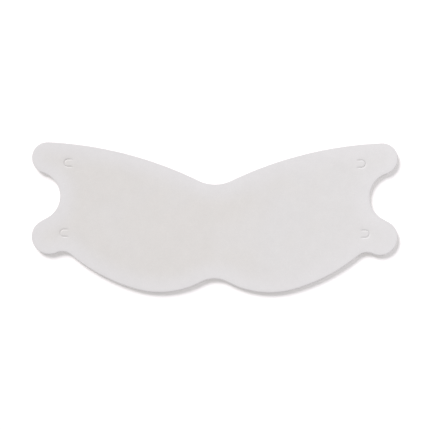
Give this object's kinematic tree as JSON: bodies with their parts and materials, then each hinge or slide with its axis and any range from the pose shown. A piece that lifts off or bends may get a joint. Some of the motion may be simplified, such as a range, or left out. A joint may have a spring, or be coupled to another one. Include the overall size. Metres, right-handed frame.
{
  "type": "eye patch",
  "caption": "Soft flat laminated eye patch for both eyes, a butterfly outline with a deep notch and a shallow notch, and side tabs with C-cut flaps for elastics.",
  "frame": {"origin": "middle of the outline, on the front cover's outer face, on which the patch lies", "axes": "+X across the face towards the right-hand tabs, +Y towards the deep notch, +Z out of the skin side"},
  "size_m": [0.21, 0.086, 0.003],
  "materials": {
    "lining_nonwoven": "soft matt off-white non-woven",
    "foam": "open-cell foam, cream white",
    "film": "thin dark light-blocking film",
    "cover_fabric": "smooth matt off-white knitted cover"
  },
  "bodies": {
    "left_half": {"front_cover_left": "cover_fabric", "blackout_film_left": "film", "foam_core_left": "foam", "skin_lining_left": "lining_nonwoven"},
    "right_half": {"front_cover_right": "cover_fabric", "blackout_film_right": "film", "foam_core_right": "foam", "skin_lining_right": "lining_nonwoven"},
    "upper_left_flap": {"front_cover_upper_left_flap": "cover_fabric", "blackout_film_upper_left_flap": "film", "foam_core_upper_left_flap": "foam", "skin_lining_upper_left_flap": "lining_nonwoven"},
    "upper_right_flap": {"front_cover_upper_right_flap": "cover_fabric", "blackout_film_upper_right_flap": "film", "foam_core_upper_right_flap": "foam", "skin_lining_upper_right_flap": "lining_nonwoven"},
    "lower_left_flap": {"front_cover_lower_left_flap": "cover_fabric", "blackout_film_lower_left_flap": "film", "foam_core_lower_left_flap": "foam", "skin_lining_lower_left_flap": "lining_nonwoven"},
    "lower_right_flap": {"front_cover_lower_right_flap": "cover_fabric", "blackout_film_lower_right_flap": "film", "foam_core_lower_right_flap": "foam", "skin_lining_lower_right_flap": "lining_nonwoven"}
  },
  "joints": [
    {"name": "centre_fold", "type": "hinge", "parent": "left_half", "child": "right_half", "pos_m": [0, 0, 0.003], "axis": [0, -1, 0], "range_deg": [0, 170], "stiffness_Nm_per_rad": 0.002},
    {"name": "upper_left_flap_bend", "type": "hinge", "parent": "left_half", "child": "upper_left_flap", "pos_m": [-0.0814, 0.031, 0.0015], "axis": [0, 1, 0], "range_deg": [-60, 60], "stiffness_Nm_per_rad": 0.0001},
    {"name": "upper_right_flap_bend", "type": "hinge", "parent": "right_half", "child": "upper_right_flap", "pos_m": [0.0814, 0.031, 0.0015], "axis": [0, -1, 0], "range_deg": [-60, 60], "stiffness_Nm_per_rad": 0.0001},
    {"name": "lower_left_flap_bend", "type": "hinge", "parent": "left_half", "child": "lower_left_flap", "pos_m": [-0.0837, -0.0092, 0.0015], "axis": [0, 1, 0], "range_deg": [-60, 60], "stiffness_Nm_per_rad": 0.0001},
    {"name": "lower_right_flap_bend", "type": "hinge", "parent": "right_half", "child": "lower_right_flap", "pos_m": [0.0837, -0.0092, 0.0015], "axis": [0, -1, 0], "range_deg": [-60, 60], "stiffness_Nm_per_rad": 0.0001}
  ]
}
